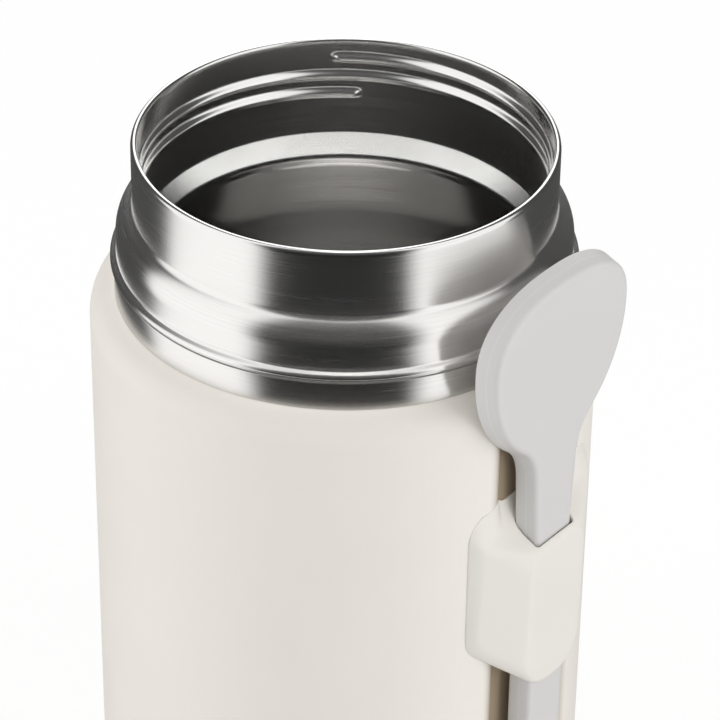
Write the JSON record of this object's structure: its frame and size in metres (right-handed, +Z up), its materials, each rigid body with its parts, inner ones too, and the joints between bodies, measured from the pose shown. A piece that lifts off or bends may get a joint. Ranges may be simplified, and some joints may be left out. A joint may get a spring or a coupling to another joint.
{
  "type": "insulated food jar",
  "caption": "Open double-walled steel food jar with a painted body, a bare neck and mouth, and a spoon held in a side channel.",
  "frame": {"origin": "centre of the underside, on the surface that the jar stands on", "axes": "+Z up along the jar's axis, +X towards the spoon and its holder"},
  "size_m": [0.1043, 0.1, 0.16],
  "materials": {
    "shell_paint": "cream powder coat, fine and matt",
    "neck_steel": "bright steel brushed round the neck",
    "vessel_steel": "bright steel, drawn and lightly brushed",
    "base_steel": "plain sheet steel",
    "getter_metal": "dull sintered metal",
    "plug_glass": "dark fused solder glass",
    "pad_rubber": "grey silicone rubber",
    "clip_steel": "plain spring steel",
    "holder_plastic": "cream moulded plastic, matt",
    "spoon_plastic": "light grey moulded plastic, matt"
  },
  "bodies": {
    "jar": {"outer_shell": "shell_paint", "neck_ring": "neck_steel", "inner_vessel": "vessel_steel", "vacuum_base": "base_steel", "getter": "getter_metal", "seal_plug": "plug_glass", "base_pad": "pad_rubber", "holder_clip": "clip_steel", "spoon_holder": "holder_plastic"},
    "spoon": {"spoon": "spoon_plastic"}
  },
  "joints": [
    {"name": "spoon_lift", "type": "slide", "parent": "jar", "child": "spoon", "axis": [0, 0, 1], "range_m": [0, 0.09]}
  ]
}
